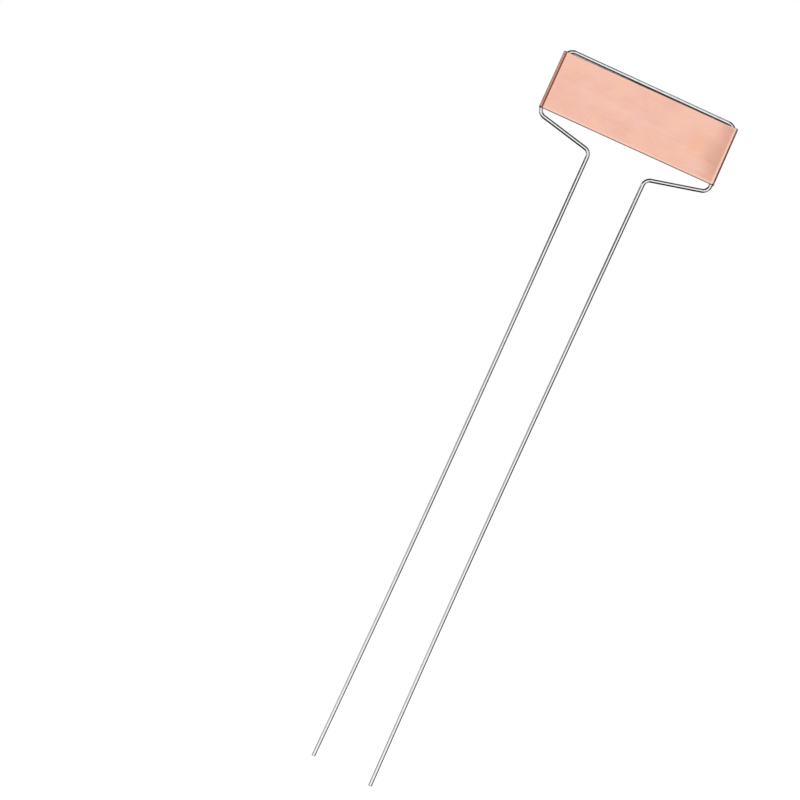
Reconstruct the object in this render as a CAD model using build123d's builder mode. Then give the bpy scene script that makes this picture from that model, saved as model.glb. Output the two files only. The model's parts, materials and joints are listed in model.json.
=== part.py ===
from build123d import *
from math import cos, radians, sin, tan
import os

# Plant label stake: one bent steel wire that carries one copper label plate.
# Millimetres. +Z runs up the stake and X across the plate. The label faces -Y.
# The origin is on the ground line, midway between the legs, in the wire's plane.

# Wire
wire_diameter = 2.0
leg_spacing = 28.2
leg_length = 309.3
soil_depth = 100.0
shoulder_slope = 13.2
top_bend_radius = 4.1
lower_bend_radius = 3.7
shoulder_bend_radius = 3.5
tip_chamfer = 0.15

# Label plate
plate_width = 89.0
plate_height = 28.6
sheet_thickness = 0.16

# Hems, the plate's rolled side edges, which hold the wire's uprights
hem_clearance = 0.14
hem_lip_angle = 15.0

# The plate's place in the wire frame
top_gap = 0.3
lower_gap = 2.8

# Sizes that follow
wire_radius = wire_diameter / 2
hem_inner_radius = wire_radius + hem_clearance
hem_outer_radius = hem_inner_radius + sheet_thickness
hem_turn = 180 + hem_lip_angle
upright_x = plate_width / 2 - hem_outer_radius
leg_x = leg_spacing / 2
shoulder_drop = (upright_x - leg_x) * tan(radians(shoulder_slope))

# Heights from the ground line
tip_z = -soil_depth
shoulder_z = tip_z + leg_length
lower_z = shoulder_z + shoulder_drop
plate_bottom_z = lower_z + lower_gap
plate_top_z = plate_bottom_z + plate_height
top_z = plate_top_z + top_gap + wire_radius

# Corners of the wire's centre line on the right-hand side, from the tip up
right_corners = [(leg_x, tip_z), (leg_x, shoulder_z), (upright_x, lower_z), (upright_x, top_z)]
right_radii = [shoulder_bend_radius, lower_bend_radius, top_bend_radius]

# The left-hand side is its mirror image, and the wire runs on from one to the other.
left_corners = [(-x, z) for x, z in right_corners]
wire_corners = left_corners + right_corners[::-1]
wire_radii = right_radii + right_radii[::-1]

# Bent wire
with BuildPart() as wire_stake:
    with BuildLine(Plane.XZ) as wire_line:
        FilletPolyline(*wire_corners, radius=wire_radii)
    with BuildSketch(Plane(origin=wire_line.line @ 0, z_dir=wire_line.line % 0)):
        Circle(wire_radius)
    sweep()
    tip_rims = wire_stake.edges().filter_by(GeomType.CIRCLE).group_by(Axis.Z)[0]
    chamfer(tip_rims, length=tip_chamfer)

# Copper plate, one section along its whole height: a flat front between two open rolls
with BuildPart() as label_plate:
    with BuildSketch(Plane.XY.offset(plate_bottom_z)):
        with BuildLine():
            Line((0, -hem_outer_radius), (upright_x, -hem_outer_radius))
            outer_roll = CenterArc((upright_x, 0), hem_outer_radius, -90, hem_turn)
            inner_roll = CenterArc((upright_x, 0), hem_inner_radius, -90, hem_turn)
            Line(outer_roll @ 1, inner_roll @ 1)
            Line((upright_x, -hem_inner_radius), (0, -hem_inner_radius))
            mirror(about=Plane.YZ)
        make_face()
    extrude(amount=plate_height)

# Labels and files
wire_stake.part.label = "wire_stake"
label_plate.part.label = "label_plate"

os.makedirs("parts", exist_ok=True)
export_step(wire_stake.part, "parts/wire_stake.step")
export_step(label_plate.part, "parts/label_plate.step")

# What the fit rests on: the room under the lip, where the bending wire leaves the hem,
# and how far the lip reaches past the wire's middle to hold it
lip_clearance = hem_inner_radius * cos(radians(hem_lip_angle)) - wire_radius
lip_reach = hem_inner_radius * sin(radians(hem_lip_angle))
print("overall height", round(top_z + wire_radius - tip_z, 2))
print("clearance under the lip", round(lip_clearance, 3))
print("reach of the lip", round(lip_reach, 3))
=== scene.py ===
"""Plant label stake: a bent zinc-coated wire that carries a thin copper label plate.

Metres and degrees. +Z runs up the stake, X lies across the plate and the label faces -Y.
"""
import json
from collections import namedtuple
from math import cos, pi, radians, sin, sqrt, tan

import bpy
from mathutils import Matrix, Vector


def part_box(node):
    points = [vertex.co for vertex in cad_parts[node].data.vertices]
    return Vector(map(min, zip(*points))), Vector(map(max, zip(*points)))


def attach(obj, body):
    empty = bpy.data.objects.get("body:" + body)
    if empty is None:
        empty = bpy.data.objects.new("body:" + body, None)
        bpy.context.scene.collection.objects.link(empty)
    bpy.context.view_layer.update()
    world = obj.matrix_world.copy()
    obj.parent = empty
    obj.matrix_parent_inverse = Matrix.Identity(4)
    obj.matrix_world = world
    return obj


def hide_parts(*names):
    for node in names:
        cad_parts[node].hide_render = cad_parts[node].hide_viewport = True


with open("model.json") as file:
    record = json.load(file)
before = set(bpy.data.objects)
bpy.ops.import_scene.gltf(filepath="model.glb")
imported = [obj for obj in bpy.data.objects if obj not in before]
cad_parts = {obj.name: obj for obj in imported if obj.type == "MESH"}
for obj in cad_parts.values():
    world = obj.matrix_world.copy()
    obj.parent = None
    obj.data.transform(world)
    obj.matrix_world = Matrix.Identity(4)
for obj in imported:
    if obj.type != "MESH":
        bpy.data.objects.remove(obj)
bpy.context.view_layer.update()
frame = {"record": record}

mm = 0.001

# Sizes read from the frame
wire_low, wire_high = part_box("wire_stake")
plate_low, plate_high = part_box("label_plate")
leg = next(mount for mount in frame["record"]["mounts"] if mount["name"] == "leg_right")
wire_radius = leg["dims"]["r_mm"] * mm
leg_x = leg["pos_m"][0]
leg_end_z = leg["pos_m"][2] + leg["dims"]["length_mm"] * mm / 2
upright_x = wire_high.x - wire_radius
tip_z = wire_low.z
top_z = wire_high.z - wire_radius

# Bends of the wire
shoulder_slope = 13.2
top_bend_radius = 4.1 * mm
lower_bend_radius = 3.7 * mm
shoulder_bend_radius = 3.5 * mm
shoulder_z = leg_end_z + shoulder_bend_radius * tan(radians((90 - shoulder_slope) / 2))
lower_z = shoulder_z + (upright_x - leg_x) * tan(radians(shoulder_slope))

# How far the hand-bent wire strays from the straight one: the right side sits lower than the left
left_tip_rise = 1.75 * mm
left_shoulder_rise = 0.5 * mm
left_lower_rise = 0.2 * mm
right_shoulder_drop = 0.7 * mm
right_lower_drop = 0.72 * mm
right_top_drop = 0.4 * mm
right_lean = 0.35 * mm

# Legs, bowed inwards between shoulder and tip, with the tips spread and a slight S in each
shoulder_spread = 0.3 * mm
right_tip_spread = 0.1 * mm
right_leg_bow = 0.88 * mm
left_tip_spread = 0.8 * mm
left_leg_bow = 0.7 * mm
leg_twist = 0.1 * mm

# Wire surface
wire_sides = 32
line_step = 2.0 * mm
bend_step = 0.25 * mm
bend_flattening_share = 0.03

# Cut tips of the wire, each with a rounded rim, a slight slant and a ring inside the cut face
tip_round = 0.14 * mm
tip_round_rings = 4
tip_lead = 2 * tip_round
tip_slant_share = 0.09
cut_face_ring_share = 0.5

# Copper sheet
sheet_thickness = 0.16 * mm
hem_lip_angle = 15
roll_steps = 56
fine_column = 0.05 * mm
coarse_column = 0.8 * mm
column_growth = 1.2
panel_rows = 58

# The sheet's cut edges: front rolled over and edge curled back, away from the hems
edge_rows = 5
edge_roll_height = 0.2 * mm
edge_roll_depth = 0.08 * mm
curl_rows = 8
edge_curl_width = 0.4 * mm
edge_curl_depth = 0.1 * mm
edge_curl_start = 1.1 * mm
edge_curl_ease = 2.5 * mm

# How far the painted highlight and painted shade bands along the cut edges reach, and how much further
# on the hems
low_edge_line = 1.6 * mm
high_edge_line = 0.85 * mm
hem_edge_share = 0.8

# The panel between the hems: a crease beside the left one, a set-back, and waves
crease_fall = 0.36 * mm
crease_rise = 0.55 * mm
crease_depth = 0.13 * mm
panel_set_back = 0.05 * mm
hem_ease = 2.4 * mm
panel_wave = 0.05 * mm
wave_ease = 6 * mm

# Slow and quick waves: their shares of the height, the half-waves over the sheet, and their starts
wave_middle_share = 0.5
slow_wave_share = 0.36
slow_wave_across = 2.3
slow_wave_across_start = 0.7
slow_wave_up = 1.1
slow_wave_up_start = -0.4
quick_wave_share = 0.14
quick_wave_across = 5.1
quick_wave_slant = 1.9
quick_wave_up = 1.7
quick_wave_up_start = 0.5


def new_mesh_object(name, points, faces):
    """A mesh object with smooth faces, in the frame's own place."""
    mesh = bpy.data.meshes.new(name)
    mesh.from_pydata(points, [], faces)
    mesh.shade_smooth()
    piece = bpy.data.objects.new(name, mesh)
    bpy.context.scene.collection.objects.link(piece)
    return piece


def point_values(piece, name, kind, values):
    """Stores one value or one vector on each point, for a material to read."""
    attribute = piece.data.attributes.new(name, kind, "POINT")
    if kind == "FLOAT_VECTOR":
        attribute.data.foreach_set("vector", [number for vector in values for number in vector])
    else:
        attribute.data.foreach_set("value", values)


def smooth(share):
    """Runs from 0 to 1 with level ends."""
    share = min(max(share, 0), 1)
    return share * share * (3 - 2 * share)


# Wire

# A ring of points round the wire: its centre, the way the wire runs there, how far along the wire
# it lies, its share of bending, its share of the wire's radius, and its share of the tip's cut
Ring = namedtuple("Ring", "centre along travelled bend radius_share cut")


def add_run(points, end):
    """Goes on from the last point to end in a straight line."""
    start = points[-1][0]
    steps = round((end - start).length / line_step)
    for step in range(1, steps + 1):
        points.append((start.lerp(end, step / steps), 0))


def rounded_line(corners, radii):
    """Points along straight runs joined by tangent arcs, with the share of bending at each."""
    points = [(corners[0], 0)]
    for before, corner, after, radius in zip(corners, corners[1:], corners[2:], radii):
        inward = (before - corner).normalized()
        outward = (after - corner).normalized()
        turn = pi - inward.angle(outward)
        reach = radius * tan(turn / 2)
        start = corner + inward * reach
        end = corner + outward * reach
        add_run(points, start)
        centre = corner + (inward + outward).normalized() * radius / cos(turn / 2)
        steps = round(radius * turn / bend_step)
        for step in range(1, steps):
            share = step / steps
            arm = (start - centre).slerp(end - centre, share).normalized()
            points.append((centre + arm * radius, sqrt(sin(pi * share))))
        points.append((end, 0))
    add_run(points, corners[-1])
    return points


def bow_leg(point):
    """Moves a point of a leg sideways to where the hand-bent leg runs."""
    share = (point.y - tip_z) / (shoulder_z - tip_z)
    if share >= 1:
        return point
    if point.x > 0:
        side, tip_spread, bow = 1, right_tip_spread, right_leg_bow
    else:
        side, tip_spread, bow = -1, left_tip_spread, left_leg_bow
    outward = tip_spread * (1 - share) - bow * sin(pi * share) - leg_twist * sin(2 * pi * share)
    return point + Vector((side * outward, 0))


def wire_line():
    """The wire's centre line as points of X and Z, from the left tip to the right one."""
    shoulder_x = leg_x + shoulder_spread
    slanted_tip_z = tip_z + tip_slant_share * wire_radius
    corners = [
        Vector((-shoulder_x, slanted_tip_z + left_tip_rise)),
        Vector((-shoulder_x, shoulder_z + left_shoulder_rise)),
        Vector((-upright_x, lower_z + left_lower_rise)),
        Vector((-upright_x, top_z)),
        Vector((upright_x - right_lean, top_z - right_top_drop)),
        Vector((upright_x, lower_z - right_lower_drop)),
        Vector((shoulder_x, shoulder_z - right_shoulder_drop)),
        Vector((shoulder_x, slanted_tip_z)),
    ]
    radii = [shoulder_bend_radius, lower_bend_radius, top_bend_radius]
    line = rounded_line(corners, radii + radii[::-1])
    return [(bow_leg(point), bend) for point, bend in line]


def round_end(rings):
    """Draws the last ring in to a cut face with a rounded rim."""
    end = rings.pop()
    rings.append(end._replace(centre=end.centre - end.along * tip_lead))
    for step in range(tip_round_rings + 1):
        angle = pi / 2 * step / tip_round_rings
        rings.append(end._replace(
            centre=end.centre - end.along * tip_round * (1 - sin(angle)),
            radius_share=1 - tip_round / wire_radius * (1 - cos(angle)),
            cut=step / tip_round_rings,
        ))
    rings.append(end._replace(radius_share=cut_face_ring_share, cut=1.0))


def wire_rings():
    """The wire's rings from tip to tip, rounded at both ends."""
    line = wire_line()
    rings = []
    travelled = 0.0
    for index, (point, bend) in enumerate(line):
        before = line[max(index - 1, 0)][0]
        after = line[min(index + 1, len(line) - 1)][0]
        travelled += (point - before).length
        rings.append(Ring(point, (after - before).normalized(), travelled, bend, 1.0, 0.0))
    round_end(rings)
    rings = [ring._replace(along=-ring.along) for ring in rings[::-1]]
    round_end(rings)
    return rings


def make_wire():
    """The bent wire as one tube, closed by a cut face at each tip."""
    rings = wire_rings()
    points, faces, unrolled, bends, cuts = [], [], [], [], []
    for ring in rings:
        across = Vector((ring.along.y, -ring.along.x))
        flattened = wire_radius * ring.radius_share * (1 - bend_flattening_share * ring.bend)
        for side in range(wire_sides):
            angle = 2 * pi * side / wire_sides
            sideways = flattened * cos(angle)
            slant = tip_slant_share * sideways * ring.cut
            spot = ring.centre + across * sideways + ring.along * slant
            points.append((spot.x, wire_radius * ring.radius_share * sin(angle), spot.y))
            unrolled.append((wire_radius * cos(angle), wire_radius * sin(angle), ring.travelled))
            bends.append(ring.bend)
            cuts.append(ring.cut)
    for index in range(len(rings) - 1):
        for side in range(wire_sides):
            a = index * wire_sides + side
            b = index * wire_sides + (side + 1) % wire_sides
            faces.append((a, b, b + wire_sides, a + wire_sides))
    for index, order in ((0, -1), (len(rings) - 1, 1)):
        rim = [index * wire_sides + side for side in range(wire_sides)]
        centre = len(points)
        points.append(tuple(sum(points[i][axis] for i in rim) / wire_sides for axis in range(3)))
        unrolled.append((0.0, 0.0, rings[index].travelled))
        bends.append(0.0)
        cuts.append(1.0)
        for pair in zip(rim, rim[1:] + rim[:1]):
            faces.append((*pair[::order], centre))
    piece = new_mesh_object("bent_wire", points, faces)
    point_values(piece, "unrolled", "FLOAT_VECTOR", unrolled)
    point_values(piece, "bend", "FLOAT", bends)
    point_values(piece, "cut", "FLOAT", cuts)
    return piece


# Copper sheet

def panel_places():
    """Places of the panel's columns across the plate, closer together by the hems."""
    offsets = []
    offset = fine_column
    step = fine_column
    while offset < upright_x:
        offsets.append(offset)
        offset += step
        step = min(step * column_growth, coarse_column)
    left = [offset - upright_x for offset in offsets]
    return left + [upright_x - offset for offset in offsets[::-1]]


def sheet_section():
    """The sheet's middle line seen from above: points, and the way that each faces."""
    roll_radius = plate_high.x - upright_x - sheet_thickness / 2
    roll_turn = radians(180 + hem_lip_angle)
    right = []
    for step in range(roll_steps + 1):
        angle = -pi / 2 + roll_turn * step / roll_steps
        facing = Vector((cos(angle), sin(angle)))
        right.append((Vector((upright_x, 0)) + facing * roll_radius, facing))
    left = [(Vector((-p.x, p.y)), Vector((-n.x, n.y))) for p, n in right][::-1]
    panel = [(Vector((x, -roll_radius)), Vector((0, -1))) for x in panel_places()]
    return left + panel + right


def sheet_rows():
    """Heights of the sheet's rows, each with how far its front is rolled over by the shear."""
    low = plate_low.z
    high = plate_high.z
    ends = []
    for row in range(edge_rows):
        angle = pi / 2 * row / edge_rows
        ends.append((edge_roll_height * (1 - cos(angle)), edge_roll_depth * (1 - sin(angle))))
    for row in range(curl_rows):
        ends.append((edge_roll_height + edge_curl_width * row / curl_rows, 0.0))
    margin = edge_roll_height + edge_curl_width
    inner = high - low - 2 * margin
    rows = [(low + height, rolled) for height, rolled in ends]
    rows += [(low + margin + inner * row / panel_rows, 0.0) for row in range(panel_rows + 1)]
    rows += [(high - height, rolled) for height, rolled in ends[::-1]]
    return rows


def crease(x):
    """The share of its full depth that the crease beside the left hem has at a place."""
    along = x + upright_x
    return smooth(1 + along / crease_fall) if along < 0 else smooth(1 - along / crease_rise)


def set_back(x):
    """How far the panel lies behind the front of its hems."""
    by_left = smooth((x + upright_x) / crease_rise)
    by_right = smooth((upright_x - x) / hem_ease)
    return max(panel_set_back * by_left * by_right, crease_depth * crease(x))


def wave(x, height_share):
    """Slight hollows and swells of the thin sheet, as a share of their largest height."""
    length = (x + upright_x) / (2 * upright_x)
    slow = sin(slow_wave_across * pi * length + slow_wave_across_start)
    slow *= cos(slow_wave_up * pi * height_share + slow_wave_up_start)
    quick = sin(quick_wave_across * pi * length + quick_wave_slant * height_share)
    quick *= sin(quick_wave_up * pi * height_share + quick_wave_up_start)
    return wave_middle_share + slow_wave_share * slow + quick_wave_share * quick


def curl(z):
    """How far the sheet's cut edges are bent backwards by the shear."""
    height = min(z - plate_low.z, plate_high.z - z)
    share = max(0, 1 - height / (edge_roll_height + edge_curl_width))
    return edge_curl_depth * share * share


def front_depth(x, z, height_share):
    """How far a place of the sheet's front lies behind the plain section."""
    from_hem = upright_x - abs(x)
    depth = set_back(x) + panel_wave * wave(x, height_share) * smooth(from_hem / wave_ease)
    return depth + curl(z) * smooth((from_hem - edge_curl_start) / edge_curl_ease)


def edge_share(x, z):
    """How near a place is to the sheet's cut edges, up to 1 on the edge itself."""
    widening = 1 + hem_edge_share * smooth((abs(x) - upright_x) / fine_column)
    low = (z - plate_low.z) / (low_edge_line * widening)
    high = (plate_high.z - z) / (high_edge_line * widening)
    return max(0, 1 - min(low, high))


def quad(corner, first, second, order):
    """A face from one corner and the steps to its two neighbours; an order of -1 turns it over."""
    return (corner, corner + first, corner + first + second, corner + second)[::order]


def make_sheet():
    """The copper plate as one closed sheet: outer side and inner side of each row, and the cuts."""
    section = sheet_section()
    rows = sheet_rows()
    points, faces, edges, creases, backs = [], [], [], [], []
    for z, rolled in rows:
        height_share = (z - plate_low.z) / (plate_high.z - plate_low.z)
        for outwards in (1, -1):
            offset = sheet_thickness / 2 * outwards - (rolled if outwards == 1 else 0)
            for place, facing in section:
                in_front = place.y < 0
                depth = front_depth(place.x, z, height_share) if in_front else 0.0
                spot = place + facing * offset
                lean = right_lean * height_share * max(spot.x, 0) / upright_x
                points.append((spot.x - lean, spot.y + depth, z))
                edges.append(edge_share(place.x, z))
                creases.append(crease(place.x) if in_front else 0.0)
                backs.append(1.0 if outwards == -1 else 0.0)
    columns = len(section)
    stride = 2 * columns
    for row in range(len(rows) - 1):
        start = row * stride
        for side_start, order in ((start, 1), (start + columns, -1)):
            faces += [quad(side_start + column, 1, stride, order) for column in range(columns - 1)]
        faces.append(quad(start, columns, stride, -1))
        faces.append(quad(start + columns - 1, columns, stride, 1))
    for start, order in ((0, -1), ((len(rows) - 1) * stride, 1)):
        faces += [quad(start + column, 1, columns, order) for column in range(columns - 1)]
    piece = new_mesh_object("copper_plate", points, faces)
    point_values(piece, "edge", "FLOAT", edges)
    point_values(piece, "crease", "FLOAT", creases)
    point_values(piece, "back", "FLOAT", backs)
    return piece


# Materials

white = (1, 1, 1, 1)

# Zinc coat
zinc_bright = (0.95, 0.955, 0.965, 1)
zinc_dull = (0.85, 0.855, 0.87, 1)
zinc_speck = (0.42, 0.42, 0.43, 1)
bare_steel = (0.36, 0.34, 0.32, 1)
zinc_roughness = (0.07, 0.15)
bend_roughness = 0.05
cut_roughness = 0.22
draw_line_depth = 0.006 * mm
broad_draw_line_depth = 0.012 * mm
grain_depth = 0.004 * mm

# Copper
copper_pale = (0.98, 0.58, 0.465, 1)
copper_warm = (0.955, 0.54, 0.42, 1)
copper_rosy = (0.96, 0.56, 0.475, 1)
copper_golden = (0.98, 0.575, 0.43, 1)
copper_amber = (0.985, 0.525, 0.37, 1)
# Painted highlight, laid on the right hem and along the cut edges
copper_highlight = (0.99, 0.67, 0.55, 1)
# Darker copper: tarnish in the broad rolling lines, and painted shade by the right hem and on the
# sheet's back
copper_tarnish_and_shade = (0.76, 0.40, 0.305, 1)
# Painted shade on the left hem
copper_deep = (0.95, 0.44, 0.32, 1)
# Painted shade: the dark line on the right hem
copper_hem_shade = (0.36, 0.17, 0.12, 1)
# Painted shade along the cut edges, reaching further at the hems' ends
cut_edge_shade = (0.13, 0.055, 0.035, 1)
# Painted shade in the crease beside the left hem
crease_shade = (0.24, 0.055, 0.03, 1)
copper_roughness = (0.15, 0.22)
rolling_line_roughness = 0.06
copper_metallic = 0.8
rolling_line_depth = 0.005 * mm
broad_rolling_line_depth = 0.009 * mm

# Places on the plate, measured across it from its middle
# Painted shade on the left hem
left_hem = (-43.6 * mm, -43.2 * mm)
# Painted shade, standing in for a dim reflection, runs over the next span towards the right hem and
# fades out in the strip after it
shaded_span = (31 * mm, 43.5 * mm)
shade_fade_strip = (42.0 * mm, 42.9 * mm)
# Painted highlight on the right hem
highlight_strip = (42.3 * mm, 43.0 * mm)
# Painted shade: the dark line on the right hem
right_hem = (43.5 * mm, 43.8 * mm)

# The warm spot: its middle, how far it is full and where it ends, and how far its outline wanders
warm_spot_place = (30.5 * mm, -1.3 * mm, 234 * mm)
warm_spot_reach = (0.5 * mm, 8.5 * mm)
cloud_wander = 14 * mm
patch_wander = 16 * mm


class Graph:
    """A node tree with short calls for its nodes and links."""

    def __init__(self, tree):
        self.tree = tree
        tree.nodes.clear()

    def node(self, kind, inputs=None, **settings):
        """Adds a node; an input takes a value or another node's output."""
        node = self.tree.nodes.new(kind)
        for name, value in settings.items():
            setattr(node, name, value)
        for name, value in (inputs or {}).items():
            if isinstance(value, bpy.types.NodeSocket):
                self.tree.links.new(value, node.inputs[name])
            else:
                node.inputs[name].default_value = value
        return node

    def attribute(self, name, output="Fac"):
        return self.node("ShaderNodeAttribute", attribute_name=name).outputs[output]

    def place(self, system="Object"):
        return self.node("ShaderNodeTexCoord").outputs[system]

    def along(self, vector, axis):
        """The share of a vector that lies along one axis."""
        return self.node("ShaderNodeSeparateXYZ", {"Vector": vector}).outputs[axis]

    def noise(self, place, scale, detail, roughness=0.5, stretch=None):
        """Noise from 0 to 1, drawn out along the axes whose stretch is below 1."""
        if stretch:
            inputs = {"Vector": place, "Scale": stretch}
            place = self.node("ShaderNodeMapping", inputs).outputs["Vector"]
        inputs = {"Vector": place, "Scale": scale, "Detail": detail, "Roughness": roughness}
        return self.node("ShaderNodeTexNoise", inputs).outputs["Fac"]

    def maths(self, operation, first, second):
        return self.node("ShaderNodeMath", {0: first, 1: second}, operation=operation).outputs["Value"]

    def times(self, first, second):
        return self.maths("MULTIPLY", first, second)

    def plus(self, first, second):
        return self.maths("ADD", first, second)

    def wander(self, noise, width):
        """Turns noise into a distance that is as often below zero as above it."""
        return self.times(self.maths("SUBTRACT", noise, 0.5), width)

    def between(self, value, low, high, to_low, to_high):
        """Maps a value from one range to another, held at the ends."""
        inputs = {
            "Value": value,
            "From Min": low,
            "From Max": high,
            "To Min": to_low,
            "To Max": to_high,
        }
        node = self.node("ShaderNodeMapRange", inputs, interpolation_type="SMOOTHSTEP")
        return node.outputs["Result"]

    def rise(self, value, start, end, most=1):
        """Goes from 0 where the value is start to most where it is end."""
        return self.between(value, start, end, 0, most)

    def fall(self, value, start, end, most=1):
        """Goes from most where the value is start to 0 where it is end."""
        return self.between(value, start, end, most, 0)

    def painted(self, ground, coats):
        """Lays coats over a ground colour in turn, each given as its share and its colour."""
        for share, colour in coats:
            # The mix node's sockets 6, 7 and 2 are the ones for colours
            inputs = {0: share, 6: ground, 7: colour}
            ground = self.node("ShaderNodeMix", inputs, data_type="RGBA").outputs[2]
        return ground

    def bumped(self, reliefs):
        """The surface's normal under reliefs laid in turn, each given as its height and depth."""
        inputs = {}
        for height, depth in reliefs:
            inputs |= {"Height": height, "Distance": depth}
            inputs["Normal"] = self.node("ShaderNodeBump", inputs).outputs["Normal"]
        return inputs["Normal"]

    def finish_metal(self, colour, roughness, normal, metallic):
        """Ends the graph in a metal surface."""
        inputs = {
            "Base Color": colour,
            "Roughness": roughness,
            "Normal": normal,
            "Metallic": metallic,
        }
        shader = self.node("ShaderNodeBsdfPrincipled", inputs)
        self.node("ShaderNodeOutputMaterial", {"Surface": shader.outputs["BSDF"]})


def new_material(name):
    material = bpy.data.materials.new(name)
    material.use_nodes = True
    return material, Graph(material.node_tree)


def zinc_material():
    """Drawn steel wire under a thin bright zinc coat, bare where the tips are cut."""
    material, graph = new_material("zinc_wire")
    unrolled = graph.attribute("unrolled", "Vector")
    bend = graph.attribute("bend")
    cut = graph.attribute("cut")
    draw_lines = graph.noise(unrolled, scale=5200, detail=3, stretch=(1, 1, 0.012))
    broad_lines = graph.noise(unrolled, scale=1500, detail=2, stretch=(1, 1, 0.03))
    clouds = graph.noise(unrolled, scale=420, detail=4, roughness=0.6)
    grains = graph.noise(unrolled, scale=5200, detail=2)
    worn = graph.between(grains, 0.35, 0.65, to_low=0.1, to_high=0.6)
    colour = graph.painted(zinc_bright, (
        (graph.rise(clouds, 0.42, 0.72, most=0.8), zinc_dull),
        (graph.rise(grains, 0.64, 0.78, most=0.55), zinc_speck),
        (graph.rise(draw_lines, 0.55, 0.8, most=0.3), zinc_dull),
        (graph.times(bend, worn), zinc_dull),
        (graph.times(cut, 0.85), bare_steel),
    ))
    roughness = graph.between(clouds, 0.3, 0.75, *zinc_roughness)
    roughness = graph.plus(roughness, graph.times(bend, bend_roughness))
    roughness = graph.plus(roughness, graph.times(cut, cut_roughness))
    normal = graph.bumped((
        (draw_lines, draw_line_depth),
        (broad_lines, broad_draw_line_depth),
        (grains, grain_depth),
    ))
    graph.finish_metal(colour, roughness, normal, metallic=1.0)
    return material


def copper_material():
    """Bright rolled copper sheet with fine rolling lines, with painted shade at its hems, cut edges,
    crease and back and by the right hem, and painted highlights at the right hem and cut edges.
    """
    material, graph = new_material("copper_sheet")
    place = graph.place()
    edge = graph.attribute("edge")
    creased = graph.attribute("crease")
    back = graph.attribute("back")
    along = graph.along(place, "X")
    fine_lines = graph.noise(place, scale=7000, detail=3, roughness=0.6, stretch=(0.012, 1, 1))
    broad_lines = graph.noise(place, scale=1300, detail=3, roughness=0.55, stretch=(0.03, 1, 1))
    clouds = graph.noise(place, scale=62, detail=4, roughness=0.55, stretch=(0.7, 1, 1.3))
    patches = graph.noise(place, scale=210, detail=3)
    tints = graph.noise(place, scale=95, detail=2, roughness=0.45, stretch=(1, 1, 1.2))
    shift = graph.wander(clouds, cloud_wander)
    # Painted shade: darker copper towards the right hem, in place of a dim reflection
    shaded_end = graph.rise(graph.plus(along, shift), *shaded_span, most=0.85)
    from_spot = graph.node("ShaderNodeVectorMath", {0: place, 1: warm_spot_place}, operation="DISTANCE")
    spot_reach = graph.plus(from_spot.outputs["Value"], shift)
    spot_reach = graph.plus(spot_reach, graph.wander(patches, patch_wander))
    colour = graph.painted(copper_pale, (
        (graph.rise(clouds, 0.35, 0.68), copper_warm),
        (graph.rise(patches, 0.5, 0.8, most=0.35), copper_warm),
        (graph.rise(tints, 0.5, 0.72, most=0.7), copper_rosy),
        (graph.rise(tints, 0.5, 0.3, most=0.7), copper_golden),
        (graph.fall(spot_reach, *warm_spot_reach, most=0.7), copper_amber),
        # Painted shade towards the right hem, fading out just before it
        (graph.times(shaded_end, graph.fall(along, *shade_fade_strip)), copper_tarnish_and_shade),
        # Painted highlight on the right hem
        (graph.rise(along, *highlight_strip, most=0.9), copper_highlight),
        (graph.rise(broad_lines, 0.5, 0.8, most=0.16), copper_tarnish_and_shade),
        # Painted shade on the left hem
        (graph.fall(along, *left_hem, most=0.8), copper_deep),
        # Painted shade: the dark line on the right hem
        (graph.rise(along, *right_hem, most=0.85), copper_hem_shade),
        # Painted shade on the sheet's back and on the inner side of its hems
        (graph.times(back, 0.6), copper_tarnish_and_shade),
        # A painted highlight band along the cut edges, then painted shade on the edges themselves
        (graph.rise(edge, 0.1, 0.4, most=0.8), copper_highlight),
        (graph.rise(edge, 0.66, 0.84, most=0.9), cut_edge_shade),
        # Painted shade in the crease beside the left hem
        (graph.rise(creased, 0.02, 0.3, most=0.95), crease_shade),
    ))
    roughness = graph.between(clouds, 0.3, 0.7, *copper_roughness)
    line_roughness = graph.rise(fine_lines, 0.35, 0.7, most=rolling_line_roughness)
    roughness = graph.plus(roughness, line_roughness)
    normal = graph.bumped((
        (fine_lines, rolling_line_depth),
        (broad_lines, broad_rolling_line_depth),
    ))
    graph.finish_metal(colour, roughness, normal, copper_metallic)
    return material


# Studio

studio_radius = 3.0
floor_half = 20.0
floor_grey = (0.8, 0.8, 0.8, 1)
floor_lift = 0.4
side_dimming = 0.6

# Grey levels of the cards that reflections show, and the angle between a standing card's points
dark = 0.02
soft = 0.55
card_step_angle = 3

# Heights of the standing cards' edges, from the lowest to the highest
pit = -studio_radius
toe = -1.9
ankle = -1.17
calf = -0.8
left_calf = -0.62
shin = -0.5
card_foot = -0.45
under_knee = -0.2
left_knee = 0.38
knee = 0.45
waist = 0.64
chest = 1.0
shoulder = 1.15
card_head = 3.2

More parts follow.
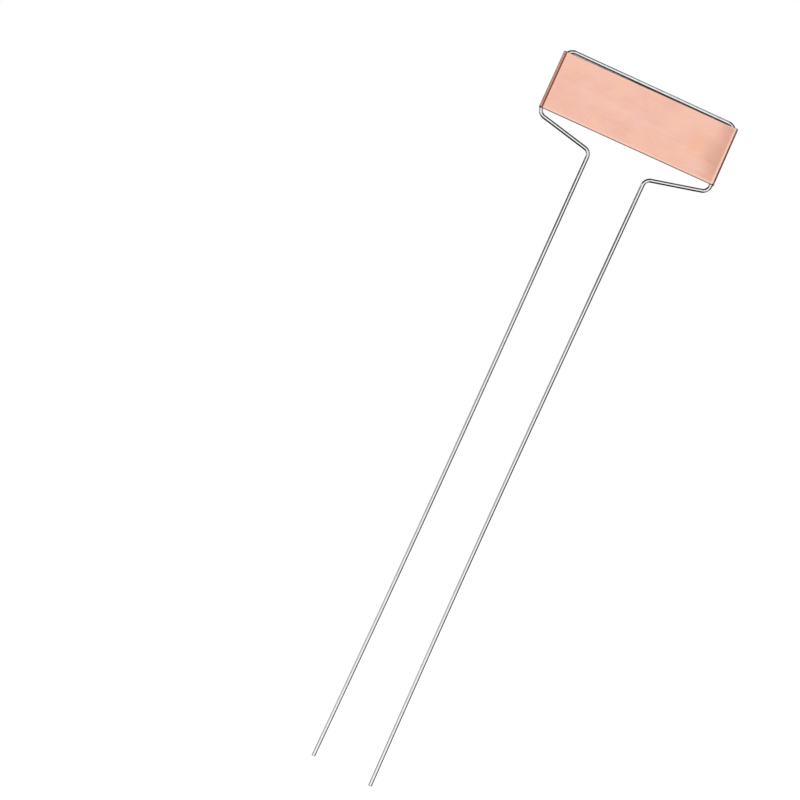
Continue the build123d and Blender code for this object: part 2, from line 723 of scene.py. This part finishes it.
# Each standing card's name, grey level, two angles from the front, and lowest and highest edge.
# Two grey levels fade into each other from the low edge to the high one.
standing_cards = (
    ("card_right_lowest", dark, 54, 118, calf, shin),
    ("card_right_lower", 2 * dark, 52, 118, shin, under_knee),
    ("card_right_low", 2 * dark, 42, 118, under_knee, knee),
    ("card_right_high", dark, 38, 118, knee, chest),
    ("card_right_top", 0.4, 22, 118, chest, card_head),
    ("card_right_back", soft, 118, 160, card_foot, chest),
    ("card_right_back_top", dark, 118, 178, chest, card_head),
    ("card_right_foot", dark, 58, 128, pit, ankle),
    ("card_right_foot_front", dark, 24, 58, pit, toe),
    ("card_left_front", dark, -31, -48, left_knee, card_head),
    ("card_left_front_high", dark, -14, -33, shoulder, card_head),
    ("card_left_lowest", (0.05, soft), -60, -118, left_calf, card_foot),
    ("card_left_low", (soft, 0.3), -31, -118, card_foot, left_knee),
    ("card_left_middle", (0.3, dark), -48, -82, left_knee, waist),
    ("card_left_side", 1.0, -46, -104, waist, chest),
    ("card_left_side_high", dark, -48, -82, chest, card_head),
    ("card_left_far_low", dark, -82, -118, left_knee, waist),
    ("card_left_far", dark, -104, -118, waist, chest),
    ("card_left_far_high", dark, -82, -178, chest, card_head),
    ("card_left_back", soft, -118, -160, card_foot, left_knee),
    ("card_left_back_high", dark, -118, -160, left_knee, chest),
    ("card_left_foot", dark, -58, -128, pit, ankle),
    ("card_left_foot_front", dark, -24, -58, pit, toe),
)

# Each level card's name, grey level, left, right, near and far edge, and height.
# Two grey levels fade into each other from the near edge to the far one.
level_cards = (
    ("card_below", dark, -3.0, 3.0, -2.5, 5.0, pit),
    ("card_below_near", (0.3, dark), -3.0, 3.0, -7.0, -2.5, pit),
    ("card_above_left", dark, -3.0, -0.25, -3.3, 3.0, card_head),
    ("card_above_middle", 0.17, -0.25, 0.12, -3.3, 3.0, card_head),
    ("card_above_middle_right", 0.36, 0.12, 0.42, -3.3, 3.0, card_head),
    ("card_above_right", dark, 0.42, 3.0, -3.3, 3.0, card_head),
    ("card_above_left_near", dark, -3.0, 0.05, -7.0, -3.3, card_head),
    ("card_above_right_near", dark, 0.5, 3.0, -7.0, -3.3, card_head),
)

# Key lamp
lamp_width = 1.0
lamp_height = 0.7
lamp_energy = 3.0
lamp_place = Vector((-0.5, -1.5, 1.45))
lamp_aim = Vector((0, 0, 0.1))


def make_floor():
    """A plain white floor under the tips, white to the camera, with the stake's soft shadow."""
    half = floor_half
    corners = [
        (-half, -half, tip_z),
        (half, -half, tip_z),
        (half, half, tip_z),
        (-half, half, tip_z),
    ]
    floor = new_mesh_object("floor", corners, [(0, 1, 2, 3)])
    material, graph = new_material("floor_white")
    camera_ray = graph.node("ShaderNodeLightPath").outputs["Is Camera Ray"]
    lift = graph.times(camera_ray, floor_lift)
    glow = graph.node("ShaderNodeEmission", {"Color": white, "Strength": lift})
    paint = graph.node("ShaderNodeBsdfDiffuse", {"Color": floor_grey})
    both = graph.node("ShaderNodeAddShader", {0: glow.outputs[0], 1: paint.outputs[0]})
    graph.node("ShaderNodeOutputMaterial", {"Surface": both.outputs[0]})
    floor.data.materials.append(material)
    floor.visible_glossy = False


def make_card(name, levels, points, faces, fade_axis):
    """A grey card that only reflections show, as a photographer sets round bright metal.

    Its grey level is one number, or a pair to fade between along one axis, low end first.
    """
    card = new_mesh_object(name, points, faces)
    material, graph = new_material(name)
    if isinstance(levels, tuple):
        reach = [point["XYZ".index(fade_axis)] for point in points]
        along = graph.along(graph.place(), fade_axis)
        level = graph.between(along, min(reach), max(reach), *levels)
    else:
        level = levels
    glow = graph.node("ShaderNodeEmission", {"Color": white, "Strength": level})
    graph.node("ShaderNodeOutputMaterial", {"Surface": glow.outputs[0]})
    card.data.materials.append(material)
    card.visible_camera = False
    card.visible_diffuse = False
    card.visible_transmission = False
    card.visible_volume_scatter = False
    card.visible_shadow = False


def make_standing_card(name, levels, start, end, low, high):
    """A standing card bent round the stake, between two angles from the front."""
    points, faces = [], []
    steps = round(abs(end - start) / card_step_angle)
    for step in range(steps + 1):
        angle = radians(start + (end - start) * step / steps)
        x = studio_radius * sin(angle)
        y = -studio_radius * cos(angle)
        points += [(x, y, low), (x, y, high)]
        if step:
            a = 2 * step
            faces.append((a - 2, a, a + 1, a - 1))
    make_card(name, levels, points, faces, "Z")


def make_level_card(name, levels, left, right, near, far, height):
    """A card lying level above or below the stake."""
    points = [(left, near, height), (right, near, height), (right, far, height), (left, far, height)]
    make_card(name, levels, points, [(0, 1, 2, 3)], "Y")


def make_world():
    """White all round for the camera, and a soft room, dimmer at its sides, for the light."""
    world = bpy.data.worlds.new("white_studio")
    world.use_nodes = True
    graph = Graph(world.node_tree)
    across = graph.along(graph.place("Generated"), "X")
    dimming = graph.times(graph.times(across, across), side_dimming)
    light = graph.maths("SUBTRACT", 1.0, dimming)
    camera_ray = graph.node("ShaderNodeLightPath").outputs["Is Camera Ray"]
    level = graph.maths("MAXIMUM", light, camera_ray)
    sky = graph.node("ShaderNodeBackground", {"Color": white, "Strength": level})
    graph.node("ShaderNodeOutputWorld", {"Surface": sky.outputs[0]})
    bpy.context.scene.world = world


def make_lamp():
    """A large soft lamp from above on the left, which the metal doesn't mirror."""
    lamp = bpy.data.lights.new("key_light", "AREA")
    lamp.shape = "RECTANGLE"
    lamp.size = lamp_width
    lamp.size_y = lamp_height
    lamp.energy = lamp_energy
    key = bpy.data.objects.new("key_light", lamp)
    key.location = lamp_place
    key.rotation_euler = (lamp_aim - lamp_place).to_track_quat("-Z", "Y").to_euler()
    key.visible_camera = False
    key.visible_glossy = False
    bpy.context.scene.collection.objects.link(key)


def make_studio():
    make_floor()
    for card in standing_cards:
        make_standing_card(*card)
    for card in level_cards:
        make_level_card(*card)
    make_world()
    make_lamp()


# Camera

view_roll = 24.444
view_centre = Vector((-46.81 * mm, 0, 68.58 * mm))
view_width = 370.9 * mm
lens = 100.0


def make_camera():
    """A camera square on to the plate, rolled as in the photograph."""
    camera_data = bpy.data.cameras.new("camera")
    camera_data.lens = lens
    camera_data.sensor_fit = "HORIZONTAL"
    distance = view_width * lens / camera_data.sensor_width
    roll = radians(view_roll)
    right = Vector((cos(roll), 0, sin(roll)))
    up = Vector((-sin(roll), 0, cos(roll)))
    back = Vector((0, -1, 0))
    camera = bpy.data.objects.new("camera", camera_data)
    camera.matrix_world = Matrix((
        (right.x, up.x, back.x, view_centre.x),
        (right.y, up.y, back.y, view_centre.y - distance),
        (right.z, up.z, back.z, view_centre.z),
        (0, 0, 0, 1),
    ))
    bpy.context.scene.collection.objects.link(camera)
    bpy.context.scene.camera = camera


wire = make_wire()
wire.data.materials.append(zinc_material())
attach(wire, "stake")
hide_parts("wire_stake")

plate = make_sheet()
plate.data.materials.append(copper_material())
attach(plate, "label")
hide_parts("label_plate")

make_studio()
make_camera()
bpy.context.scene.view_settings.view_transform = "Standard"
